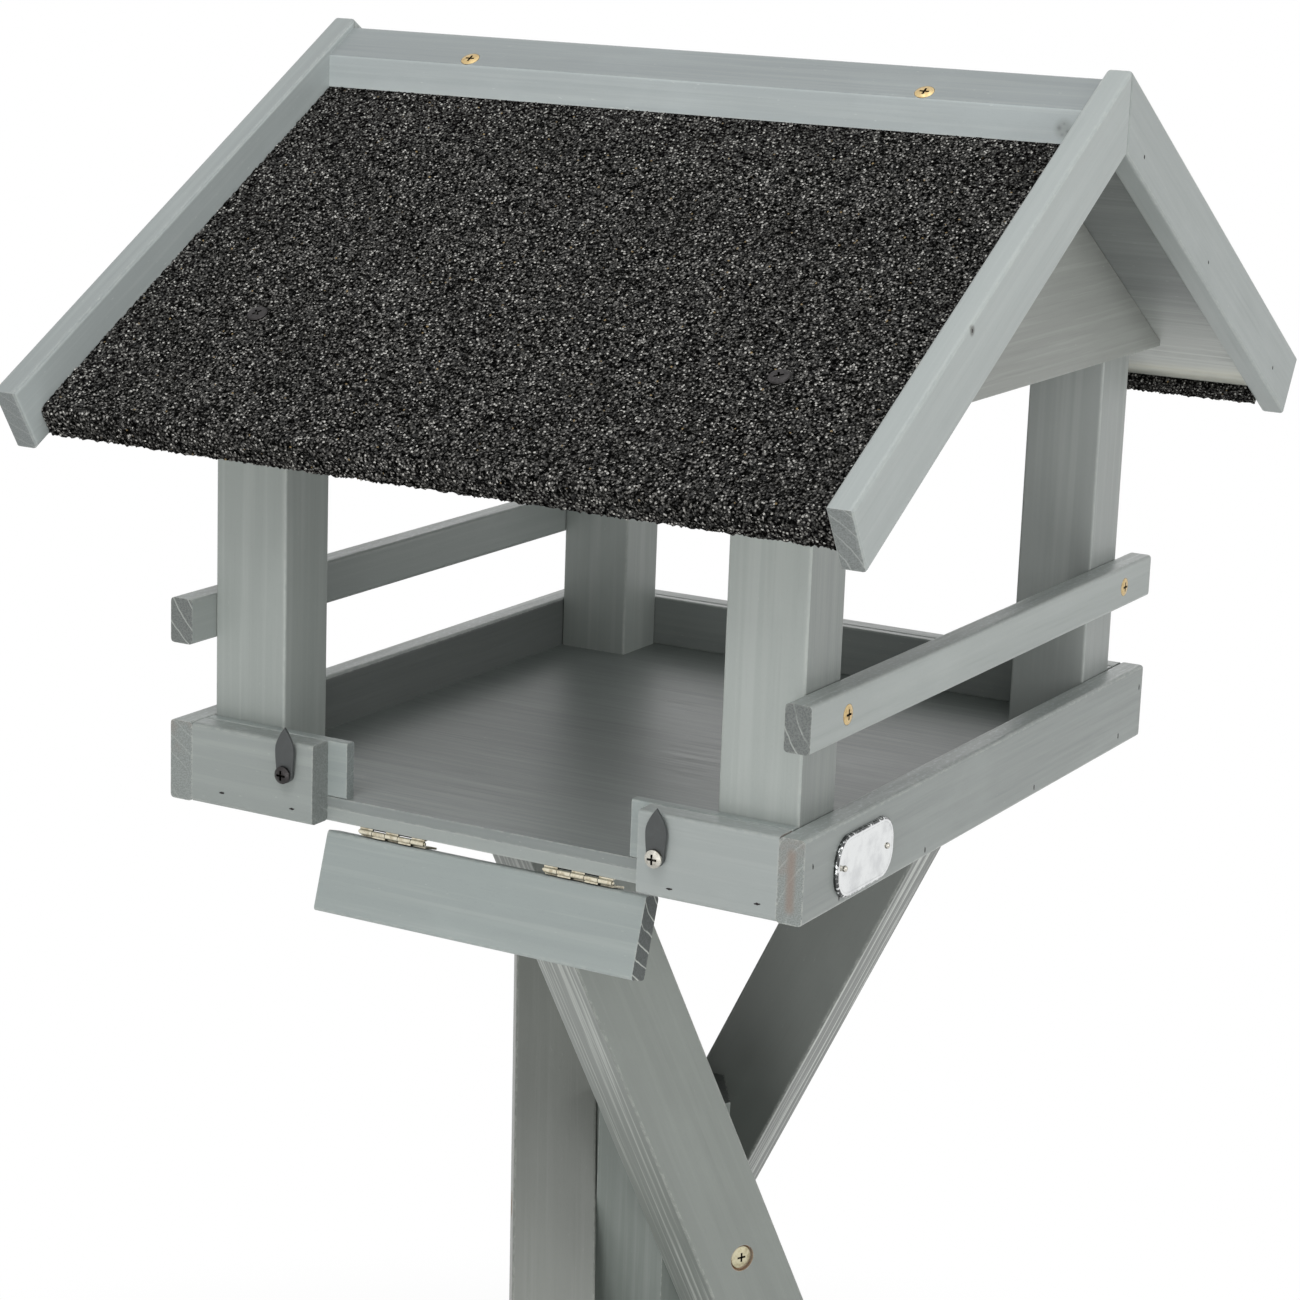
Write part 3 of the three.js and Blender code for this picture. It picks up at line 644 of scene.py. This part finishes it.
def felt_path():
    """The felt's granulated outside as (along, depth, outward along, outward depth), ridge to hem.

    It runs down the slope, around the lower end of the roof panel and a little way back under it.
    """
    outer = FELT_INNER + FELT_THICKNESS
    lowest = FELT_DEPTH + 2 * FELT_THICKNESS + PANEL_THICKNESS + FELT_SLACK
    start = FELT_DEPTH * math.tan(PITCH) + FELT_TOP_GAP
    path = [(start, FELT_DEPTH, 0.0, -1.0)]
    felt_run(path, (start, FELT_DEPTH), (outer - FELT_FOLD, FELT_DEPTH), (0.0, -1.0))
    felt_bend(path, outer - FELT_FOLD, FELT_DEPTH + FELT_FOLD, FELT_FOLD, 0.0)
    felt_run(path, (outer, FELT_DEPTH + FELT_FOLD), (outer, lowest - FELT_HEM), (1.0, 0.0))
    felt_bend(path, outer - FELT_HEM, lowest - FELT_HEM, FELT_HEM, QUARTER_TURN)
    felt_run(path, (outer - FELT_HEM, lowest), (FELT_INNER - FELT_UNDER, lowest), (0.0, 1.0))
    path.append((FELT_INNER - FELT_UNDER, lowest - FELT_EDGE_DROP, 0.0, 1.0))
    return path


def felt_faces(rows, columns):
    """Triangles around the sheet, whose diagonals change from cell to cell, and one cap at each side."""
    width = columns + 1
    faces = []
    for row in range(rows):
        after = (row + 1) % rows
        for column in range(columns):
            first = row * width + column
            second = after * width + column
            a, b, c, d = first, first + 1, second + 1, second
            if (row + column) % 2:
                faces += [(a, b, c), (a, c, d)]
            else:
                faces += [(a, b, d), (b, c, d)]
    faces.append(tuple(row * width for row in range(rows)))
    faces.append(tuple(row * width + columns for row in reversed(range(rows))))
    return faces


def make_felt(name, side, seed, material):
    """A closed sheet whose outside is a fine grid of angular granules and whose inside is plain."""
    chance = random.Random(seed)
    low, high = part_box(name)
    left = low.x + FELT_SIDE_GAP
    right = high.x - FELT_SIDE_GAP
    columns = round((right - left) / FELT_STEP)
    path = felt_path()
    upper = FELT_DEPTH + FELT_THICKNESS
    under = upper + PANEL_THICKNESS
    inside = [(FELT_INNER - FELT_UNDER, under), (FELT_INNER, under), (FELT_INNER, upper),
              (path[0][0] + FELT_TOP_BEVEL, upper)]
    sine = math.sin(PITCH)
    cosine = math.cos(PITCH)

    def place(x, along, depth):
        return (x, RIDGE_PLACE[1] + side * (along * cosine - depth * sine),
                RIDGE_PLACE[2] - along * sine - depth * cosine)

    points = []
    for along, depth, out_along, out_depth in path:
        buried = along < UNDER_CAP and out_depth < 0
        for column in range(columns + 1):
            x = left + (right - left) * column / columns
            rise = 0.0 if buried else chance.triangular(*GRAIN_RISE)
            if out_depth > 0 and chance.random() < RAGGED_SHARE:
                rise += RAGGED_RISE
            slide = 0.0 if buried else chance.uniform(-GRAIN_SLIDE, GRAIN_SLIDE)
            if 0 < column < columns:
                x += chance.uniform(-GRAIN_SLIDE, GRAIN_SLIDE)
            points.append(place(x, along + out_along * rise - out_depth * slide,
                                depth + out_depth * rise + out_along * slide))
    for along, depth in inside:
        for column in range(columns + 1):
            points.append(place(left + (right - left) * column / columns, along, depth))
    faces = felt_faces(len(path) + len(inside), columns)
    if side > 0:
        faces = [tuple(reversed(face)) for face in faces]
    mesh = bpy.data.meshes.new("granulated_" + name)
    mesh.from_pydata(points, [], faces)
    mesh.validate()
    thing = bpy.data.objects.new("granulated_" + name, mesh)
    bpy.context.scene.collection.objects.link(thing)
    set_material(thing, material)
    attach(thing, "table")
    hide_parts(name)


def felt_screw(x, along, seed):
    """Loops of a low black screw head with a cross recess, bedded in the front felt."""
    turn = random.Random(seed).uniform(0, QUARTER_TURN)
    middle = Vector((x, RIDGE_PLACE[1], RIDGE_PLACE[2])) - SLOPE_FRONT * along - SLOPE_UP_FRONT * FELT_DEPTH
    loops = []
    for reach, rise in HEAD_STEPS:
        loop = []
        for step in range(FELT_SCREW_POINTS):
            angle = step / FELT_SCREW_POINTS * math.tau
            radius = reach
            if reach is None:
                sine = max(abs(math.sin(angle)), LEAST_SINE)
                cosine = max(abs(math.cos(angle)), LEAST_SINE)
                radius = max(min(CROSS_REACH / cosine, CROSS_HALF / sine),
                             min(CROSS_HALF / cosine, CROSS_REACH / sine))
            loop.append(middle + SLOPE_UP_FRONT * rise + RIGHT * radius * math.cos(angle + turn)
                        + SLOPE_FRONT * radius * math.sin(angle + turn))
        loops.append(loop)
    return loops


felt_look = felt_material()
for name, side in (("roof_felt_front", -1), ("roof_felt_back", 1)):
    set_material(nodes[name], felt_look)
    make_felt(name, side, FELT_SEED + side, felt_look)


# Metal and plastic: repeats to the metre, detail, relief, and shares from one look to the next

TARNISH_REPEATS = 420.0
TARNISH_DETAIL = 4
TARNISH_SHARES = (0.4, 0.7)
TARNISHED_SHARE = 0.5
SCRATCH_REPEATS = 2600.0
SCRATCH_DETAIL = 3
SCRATCH_RELIEF = 0.03e-3
SCRATCH_STRENGTH = 0.6
# Painted shade in recesses: how far the occlusion looks and with how many samples, the shares over which it
# darkens, and its colour
RECESS_REACH = 3e-3
RECESS_SAMPLES = 8
RECESS_SHARES = (0.85, 0.4)
PAINTED_RECESS_SHADE = (26, 24, 20)
METAL_ROUGH = 0.3
METAL_ROUGH_SHARES = (0.3, 0.75)
METAL_ROUGHER_SHARE = 0.25

CHROME_REPEATS = 90.0
CHROME_DETAIL = 3
CHROME_SHARES = (0.4, 0.7)
CHROME_TONES = ((226, 228, 228), (206, 208, 209))
RIPPLE_REPEATS = 520.0
RIPPLE_DETAIL = 2
RIPPLE_SHARES = (0.36, 0.5)
RIPPLE_ROUGH_SHARES = (0.3, 0.8, 0.08, 0.2)
RIPPLE_RELIEF = 0.02e-3
RIPPLE_STRENGTH = 0.3
# Painted reflection on the tilted rim: how far a face turns from the plate's face before it darkens, and the
# dark colour
TILTED_SHARES = (0.995, 0.93)
PAINTED_REFLECTION_DARK = (84, 86, 86)

SKIN_REPEATS = 3800.0
SKIN_DETAIL = 2
SKIN_RELIEF = 0.05e-3
SKIN_STRENGTH = 0.6
SCUFF_REPEATS = 240.0
SCUFF_DETAIL = 4
SCUFF_SHARES = (0.45, 0.75, 0.0, 0.5)
SCUFF_ROUGH_SHARES = (0.3, 0.8, 0.42, 0.6)
SCUFF_LIGHTER = 14


def metal(name, tone, tarnish, rough=METAL_ROUGH, tarnished=TARNISHED_SHARE):
    """Turned or pressed metal with fine scratches and patches of dulled surface, with painted shade in its
    recesses.
    """
    shader = Shader(name)
    place = shader.coordinates().outputs["Object"]
    patches = shader.noise(place, TARNISH_REPEATS, TARNISH_DETAIL)
    scratches = shader.noise(place, SCRATCH_REPEATS, SCRATCH_DETAIL)
    colour = shader.mixed(shader.between(patches, *TARNISH_SHARES, 0.0, tarnished), srgb(*tone),
                          srgb(*tarnish))
    # Painted shade: recesses are darkened by how little open room they see
    open_sky = shader.add("ShaderNodeAmbientOcclusion", {"Distance": RECESS_REACH},
                          samples=RECESS_SAMPLES).outputs["AO"]
    colour = shader.mixed(shader.between(open_sky, *RECESS_SHARES), colour, srgb(*PAINTED_RECESS_SHADE))
    roughness = shader.between(patches, *METAL_ROUGH_SHARES, rough, rough + METAL_ROUGHER_SHARE)
    return shader.finish(Base_Color=colour, Metallic=1.0, Roughness=roughness,
                         Normal=shader.bump(scratches, SCRATCH_RELIEF, SCRATCH_STRENGTH))


def chrome(name):
    """Bright plating with a painted reflection: its rim and edges are coloured dark, as if mirroring a darker
    room around it.
    """
    shader = Shader(name)
    coordinates = shader.coordinates()
    place = coordinates.outputs["Object"]
    patches = shader.noise(place, CHROME_REPEATS, CHROME_DETAIL)
    ripples = shader.noise(place, RIPPLE_REPEATS, RIPPLE_DETAIL)
    bright, dull = CHROME_TONES
    colour = shader.mixed(shader.between(patches, *CHROME_SHARES), srgb(*bright), srgb(*dull))
    # Painted reflection: tilted faces of the rim get dark squiggles
    painted_reflection = shader.math("MULTIPLY", facing(shader, coordinates.outputs["Normal"], RIGHT, *TILTED_SHARES),
                         shader.between(ripples, *RIPPLE_SHARES))
    colour = shader.mixed(painted_reflection, colour, srgb(*PAINTED_REFLECTION_DARK))
    return shader.finish(Base_Color=colour, Metallic=1.0,
                         Roughness=shader.between(ripples, *RIPPLE_ROUGH_SHARES),
                         Normal=shader.bump(ripples, RIPPLE_RELIEF, RIPPLE_STRENGTH))


def plastic(name, tone):
    """Moulded plastic with a fine matt skin and scuffs."""
    shader = Shader(name)
    place = shader.coordinates().outputs["Object"]
    skin = shader.noise(place, SKIN_REPEATS, SKIN_DETAIL)
    scuffs = shader.noise(place, SCUFF_REPEATS, SCUFF_DETAIL)
    lighter = srgb(*[value + SCUFF_LIGHTER for value in tone])
    colour = shader.mixed(shader.between(scuffs, *SCUFF_SHARES), srgb(*tone), lighter)
    return shader.finish(Base_Color=colour, Roughness=shader.between(scuffs, *SCUFF_ROUGH_SHARES),
                         Normal=shader.bump(skin, SKIN_RELIEF, SKIN_STRENGTH))


# Each metal's clean and tarnished colours, its roughness, and how tarnished it is
METALS = {
    "yellow_zinc": ((206, 182, 134), (158, 128, 80), 0.26),
    "pale_zinc": ((200, 194, 166), (146, 134, 102)),
    "hinge_steel": ((216, 210, 190), (140, 126, 98), 0.3, 0.6),
    "bright_steel": ((198, 195, 186), (128, 122, 110), 0.22),
    "black_steel": ((62, 60, 60), (34, 33, 33), 0.32),
}
PLASTIC_TONE = (62, 65, 65)

# The finish of each piece of hardware, by the start of its node's name
HARDWARE = {
    "button_screw_left": "black_steel", "button_screw_right": "bright_steel", "leg_screw": "pale_zinc",
    "rail_screw": "yellow_zinc", "cap_screw": "yellow_zinc", "hinge": "hinge_steel",
    "turn_button": "dark_plastic",
}

finishes = {name: metal(name, *values) for name, values in METALS.items()}
finishes["dark_plastic"] = plastic("dark_plastic", PLASTIC_TONE)
for name, thing in sorted(nodes.items()):
    for key in keys_of(name, HARDWARE):
        set_material(thing, finishes[HARDWARE[key]])


# Bare plate and nails

# The plate's place on the tray's side from the tray's front corner, and its half width and height
PLATE_MIDDLE = (0.0598, 0.01825)
PLATE_HALF = (0.0296, 0.015)
PLATE_RADIUS = 0.0128
PLATE_LEAST_RADIUS = 0.001
PLATE_CORNER_STEPS = 9

# The plate's levels from its back: how far in from the rim, and how far out of the wood
PLATE_LEVELS = ((0.0, 0.0), (0.0, 0.0011), (0.0002, 0.0016), (0.0007, 0.002), (0.0014, 0.0022),
                (0.0022, 0.0021), (0.0028, 0.0019), (0.006, 0.00195), (0.0105, 0.00205))

# The pins that hold it: a share of the pin's radius at each height
PIN_REACH = 0.0222
PIN_RADIUS = 0.0015
PIN_POINTS = 20
PIN_LEVELS = ((1.0, 0.0015), (1.0, 0.0023), (0.86, 0.0028), (0.6, 0.0031), (0.25, 0.0033))

# Nails in the tray and in the front bargeboards, as places from the tray's front corner
FRONT_NAILS = ((0.0313, 0.0073), (0.0732, 0.0065), (0.2823, 0.0053), (0.3274, 0.0068))
SIDE_NAILS = ((0.0088, 0.0261), (0.0372, 0.0041), (0.1298, 0.0038), (0.262, 0.0044), (0.3771, 0.0066),
              (0.4039, 0.0285))
BARGE_PINS = ((0.2262, 0.3307), (0.3255, 0.2722), (0.4384, 0.2057), (0.0367, 0.2681))

# A nail's half length, and its width as a share of that
PIN_LOOK = (0.00085, 0.9)
NAIL_LOOK = (0.0013, 0.5)
NAIL_LEVELS = ((1.0, -0.0003), (1.0, 0.00004), (0.75, 0.00014), (0.3, 0.00008))
NAIL_POINTS = 12
NAIL_SEED = 100
RIM_SHARES = (0.8, 1.15)
TORN_EVERY = 6
TORN_POINTS = (0, 1)
TORN_SHARE = 1.25
WHOLE_SHARE = 0.9


def rounded_outline(half_width, half_height, radius):
    """Points around a rectangle with round corners."""
    points = []
    for quarter, (x, y) in enumerate(((1, 1), (-1, 1), (-1, -1), (1, -1))):
        for step in range(PLATE_CORNER_STEPS):
            angle = QUARTER_TURN * (quarter + step / (PLATE_CORNER_STEPS - 1))
            points.append((x * (half_width - radius) + radius * math.cos(angle),
                           y * (half_height - radius) + radius * math.sin(angle)))
    return points


def lofted(name, loops, material, smooth=True):
    """A closed solid on the table's body, through loops of points that all have the same count."""
    shape = bmesh.new()
    rings = [[shape.verts.new(point) for point in loop] for loop in loops]
    count = len(loops[0])
    for lower, upper in zip(rings, rings[1:]):
        for index in range(count):
            after = (index + 1) % count
            shape.faces.new((lower[index], lower[after], upper[after], upper[index]))
    shape.faces.new(rings[0])
    shape.faces.new(rings[-1])
    bmesh.ops.recalc_face_normals(shape, faces=shape.faces)
    mesh = bpy.data.meshes.new(name)
    shape.to_mesh(mesh)
    shape.free()
    for face in mesh.polygons:
        face.use_smooth = smooth
    thing = bpy.data.objects.new(name, mesh)
    bpy.context.scene.collection.objects.link(thing)
    set_material(thing, material)
    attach(thing, "table")


def make_plate():
    """A bare, bright plate with a raised rim on the tray's right side, held by two round-headed pins."""
    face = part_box("side_board_right")[1].x
    middle_y = TRAY_FRONT.y + PLATE_MIDDLE[0]
    middle_z = TRAY_FRONT.z + PLATE_MIDDLE[1]
    loops = []
    for inset, rise in PLATE_LEVELS:
        outline = rounded_outline(PLATE_HALF[0] - inset, PLATE_HALF[1] - inset,
                                  max(PLATE_RADIUS - inset, PLATE_LEAST_RADIUS))
        loops.append([(face + rise, middle_y + y, middle_z + z) for y, z in outline])
    lofted("bare_plate", loops, chrome("plate_chrome"))
    for side, label in ((-1, "front"), (1, "back")):
        loops = []
        for share, rise in PIN_LEVELS:
            radius = share * PIN_RADIUS
            angles = [step / PIN_POINTS * math.tau for step in range(PIN_POINTS)]
            loops.append([(face + rise, middle_y + side * PIN_REACH + radius * math.cos(angle),
                           middle_z + radius * math.sin(angle)) for angle in angles])
        lofted("plate_pin_" + label, loops, finishes["bright_steel"])


def nail(place, outward, across, size, seed):
    """Loops of a small sunk nail head: a dark lens with a torn rim, a little proud of the wood."""
    chance = random.Random(seed)
    up = outward.cross(across)
    length, width_share = size
    torn = [TORN_SHARE if step % TORN_EVERY in TORN_POINTS else WHOLE_SHARE for step in range(NAIL_POINTS)]
    wide = [chance.uniform(*RIM_SHARES) * share for share in torn]
    loops = []
    for share, rise in NAIL_LEVELS:
        loop = []
        for step in range(NAIL_POINTS):
            angle = step / NAIL_POINTS * math.tau
            reach = length * share * wide[step]
            loop.append(place + outward * rise + across * reach * math.cos(angle)
                        + up * reach * width_share * math.sin(angle))
        loops.append(loop)
    return loops


def make_nails():
    """The nails of the front and back boards, of both side boards and of the front bargeboards."""
    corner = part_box("side_board_right")[1]
    width = corner.x - TRAY_FRONT.x
    depth = corner.y - TRAY_FRONT.y
    places = []
    for x, z in FRONT_NAILS:
        places.append((TRAY_FRONT + Vector((x, 0, z)), FRONT, RIGHT, NAIL_LOOK))
        places.append((TRAY_FRONT + Vector((x, depth, z)), BACK, RIGHT, NAIL_LOOK))
    for y, z in SIDE_NAILS:
        places.append((TRAY_FRONT + Vector((width, y, z)), RIGHT, UP, NAIL_LOOK))
        places.append((TRAY_FRONT + Vector((0, y, z)), -RIGHT, UP, NAIL_LOOK))
    for y, z in BARGE_PINS:
        for x, outward in ((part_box("bargeboard_front_left")[0].x, -RIGHT),
                           (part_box("bargeboard_front_right")[1].x, RIGHT)):
            places.append((Vector((x, TRAY_FRONT.y + y, TRAY_FRONT.z + z)), outward, UP, PIN_LOOK))
    for index, place in enumerate(places):
        lofted(f"nail_{index + 1:02d}", nail(*place, NAIL_SEED + index),
               finishes["black_steel"])


make_plate()
make_nails()
for index, (x, along) in enumerate(FELT_SCREWS):
    lofted(f"felt_screw_{index + 1}", felt_screw(x, along, FELT_SCREW_SEED + index),
           finishes["black_steel"], smooth=False)


# Camera, floor and light

CAMERA_PLACE = Vector((0.81831, -1.46057, 1.23985))
CAMERA_RIGHT = Vector((0.86957, 0.49253, 0.03554))
CAMERA_UP = Vector((-0.14571, 0.18714, 0.97147))
CAMERA_BACK = Vector((0.47183, -0.84994, 0.2345))
CAMERA_LENS = 91.441
CAMERA_SENSOR = 36.0
CAMERA_REACH = 200.0

# The floor's radius, and how it fades from part shadow to plain white between two distances
FLOOR_RADIUS = 60.0
FLOOR_POINTS = 96
FLOOR_PALE = (244, 244, 243)
FADE_DISTANCES = (0.45, 1.15)
FADE_SHARES = (0.4, 1.0)
WHITE = (1.0, 1.0, 1.0, 1.0)
SKY_COLOUR = (0.98, 0.99, 1.0, 1.0)
SKY_STRENGTH = 0.35

# Each lamp's place, the point it shines at, its side, its power in watts and its colour
LAMPS = {
    "softbox_top": ((0.2, -0.3, 3.2), (0.0, 0.0, 0.9), 1.8, 17.0, (0.95, 0.98, 1.0)),
    "softbox_back": ((-1.1, 2.5, 1.8), (0.0, 0.0, 0.8), 1.5, 6.0, (1.0, 1.0, 1.0)),
    "softbox_right": ((2.6, -0.3, 1.6), (0.1, 0.0, 0.95), 1.2, 18.6, (1.0, 1.0, 1.0)),
    "softbox_low": ((0.4, -2.3, 0.56), (0.0, 0.0, 0.95), 1.0, 13.5, (1.0, 1.0, 1.0)),
    "softbox_front": ((0.2, -1.7, 2.9), (0.0, 0.0, 0.95), 1.2, 17.7, (1.0, 1.0, 1.0)),
    "softbox_side": ((1.7, -2.1, 2.3), (0.0, 0.0, 0.9), 1.2, 6.0, (1.0, 1.0, 1.0)),
}


def make_camera():
    data = bpy.data.cameras.new("photo_camera")
    data.lens = CAMERA_LENS
    data.sensor_width = CAMERA_SENSOR
    data.sensor_fit = "HORIZONTAL"
    data.clip_end = CAMERA_REACH
    camera = bpy.data.objects.new("photo_camera", data)
    turn = Matrix((CAMERA_RIGHT, CAMERA_UP, CAMERA_BACK)).transposed().to_4x4()
    camera.matrix_world = Matrix.Translation(CAMERA_PLACE) @ turn
    bpy.context.scene.collection.objects.link(camera)
    bpy.context.scene.camera = camera


def make_floor():
    """A pale floor that takes the object's shadow near its feet and fades to plain white around them."""
    mesh = bpy.data.meshes.new("floor")
    shape = bmesh.new()
    bmesh.ops.create_circle(shape, cap_ends=True, segments=FLOOR_POINTS, radius=FLOOR_RADIUS)
    shape.to_mesh(mesh)
    shape.free()
    floor = bpy.data.objects.new("floor", mesh)
    bpy.context.scene.collection.objects.link(floor)
    shader = Shader("pale_floor")
    place = shader.coordinates().outputs["Object"]
    distance = shader.add("ShaderNodeVectorMath", {0: place}, operation="LENGTH").outputs["Value"]
    fade = shader.between(distance, *FADE_DISTANCES, *FADE_SHARES)
    path = shader.add("ShaderNodeLightPath")
    seen = shader.math("MAXIMUM", path.outputs["Is Camera Ray"], path.outputs["Is Glossy Ray"])
    seen = shader.math("MAXIMUM", seen, path.outputs["Is Transmission Ray"])
    white = shader.add("ShaderNodeEmission", {"Color": WHITE, "Strength": 1.0}).outputs[0]
    ground = shader.add("ShaderNodeBsdfDiffuse", {"Color": srgb(*FLOOR_PALE)}).outputs[0]
    both = shader.add("ShaderNodeMixShader", {0: shader.math("MULTIPLY", fade, seen), 1: ground, 2: white})
    set_material(floor, shader.shown(both.outputs[0]))


def make_world():
    """Soft light all around, which the camera, glossy and clear surfaces see as plain white."""
    world = bpy.data.worlds.new("studio")
    bpy.context.scene.world = world
    world.use_nodes = True
    tree = world.node_tree
    tree.nodes.clear()
    path = tree.nodes.new("ShaderNodeLightPath")
    seen = path.outputs["Is Camera Ray"]
    for kind in ("Is Glossy Ray", "Is Transmission Ray"):
        either = tree.nodes.new("ShaderNodeMath")
        either.operation = "MAXIMUM"
        tree.links.new(seen, either.inputs[0])
        tree.links.new(path.outputs[kind], either.inputs[1])
        seen = either.outputs[0]
    both = tree.nodes.new("ShaderNodeMixShader")
    tree.links.new(seen, both.inputs[0])
    for index, (colour, strength) in enumerate(((SKY_COLOUR, SKY_STRENGTH), (WHITE, 1.0))):
        background = tree.nodes.new("ShaderNodeBackground")
        background.inputs["Color"].default_value = colour
        background.inputs["Strength"].default_value = strength
        tree.links.new(background.outputs[0], both.inputs[index + 1])
    output = tree.nodes.new("ShaderNodeOutputWorld")
    tree.links.new(both.outputs[0], output.inputs["Surface"])


def make_lamp(name, place, target, size, energy, colour):
    data = bpy.data.lights.new(name, "AREA")
    data.shape = "SQUARE"
    data.size = size
    data.energy = energy
    data.color = colour
    lamp = bpy.data.objects.new(name, data)
    lamp.location = place
    lamp.rotation_euler = (Vector(target) - Vector(place)).to_track_quat("-Z", "Y").to_euler()
    bpy.context.scene.collection.objects.link(lamp)


make_camera()
make_floor()
make_world()
for name, values in LAMPS.items():
    make_lamp(name, *values)
bpy.context.scene.view_settings.view_transform = "Standard"

bpy.context.view_layer.update()
